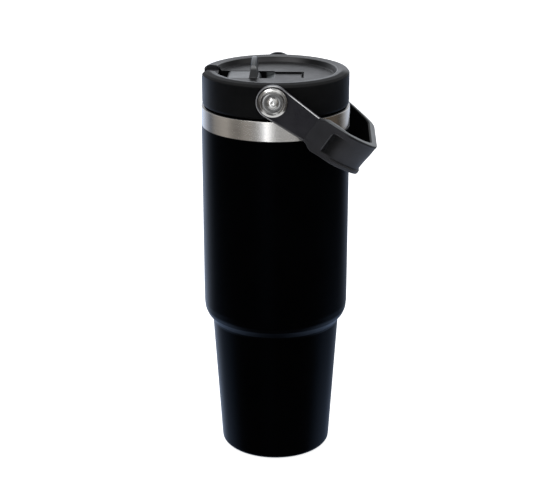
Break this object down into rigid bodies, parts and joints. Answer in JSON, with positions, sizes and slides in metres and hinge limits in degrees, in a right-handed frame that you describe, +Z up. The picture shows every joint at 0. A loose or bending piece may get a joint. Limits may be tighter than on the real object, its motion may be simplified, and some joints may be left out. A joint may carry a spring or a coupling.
{
  "type": "insulated travel mug",
  "caption": "Double-walled steel travel mug with a stepped body, screw lid, flip spout with straw, and a swinging bail handle.",
  "frame": {"origin": "centre of the base's underside, on the surface the mug stands on", "axes": "+Z up along the mug's axis; the bail's pivot axis is parallel to Y; the bail rests on the +X side and the spout points to -X"},
  "size_m": [0.1088, 0.1032, 0.2583],
  "materials": {
    "body_coat": "satin black powder coat",
    "brushed_collar": "brushed round the axis",
    "liner_steel": "electropolished",
    "base_steel": "spun satin",
    "solder": "dull",
    "getter_metal": "pressed powder",
    "silicone": "matt",
    "lid_plastic": "fine matt texture",
    "plug_plastic": "satin",
    "spout_plastic": "semi-gloss",
    "straw_plastic": "smooth",
    "pin_steel": "ground",
    "screw_steel": "turned, bright edges",
    "washer_nylon": "satin",
    "insert_brass": "turned",
    "bail_plastic": "semi-gloss",
    "grip_rubber": "soft touch, matt"
  },
  "bodies": {
    "mug_body": {"outer_shell": "body_coat", "neck_band": "brushed_collar", "inner_liner": "liner_steel", "base_plate": "base_steel", "vacuum_seal": "solder", "getter": "getter_metal"},
    "gasket": {"lid_gasket": "silicone"},
    "lid": {"lid_housing": "lid_plastic", "lid_plug": "plug_plastic", "spout_seal": "silicone", "vent_valve": "silicone", "straw_adapter": "straw_plastic", "straw": "straw_plastic", "spout_pin_front": "pin_steel", "spout_pin_rear": "pin_steel", "pivot_screw_front": "screw_steel", "pivot_screw_rear": "screw_steel", "pivot_washer_front": "washer_nylon", "pivot_washer_rear": "washer_nylon", "pivot_insert_front": "insert_brass", "pivot_insert_rear": "insert_brass"},
    "spout": {"spout": "spout_plastic"},
    "handle": {"handle_frame": "bail_plastic", "handle_grip": "grip_rubber"}
  },
  "joints": [
    {"name": "lid_rise", "type": "slide", "parent": "mug_body", "child": "gasket", "axis": [0, 0, 1], "range_m": [0, 0.01202]},
    {"name": "lid_turn", "type": "hinge", "parent": "gasket", "child": "lid", "pos_m": [0, 0, 0.2306], "axis": [0, 0, 1], "range_deg": [0, 540]},
    {"name": "spout_flip", "type": "hinge", "parent": "lid", "child": "spout", "pos_m": [-0.0135, 0, 0.243], "axis": [0, 1, 0], "range_deg": [0, 67]},
    {"name": "handle_swing", "type": "hinge", "parent": "lid", "child": "handle", "pos_m": [0, 0, 0.24135], "axis": [0, -1, 0], "range_deg": [0, 249.5]}
  ],
  "couplings": [
    {"joint": "lid_rise", "follows": "lid_turn", "m_per_rad": 0.0012732}
  ]
}
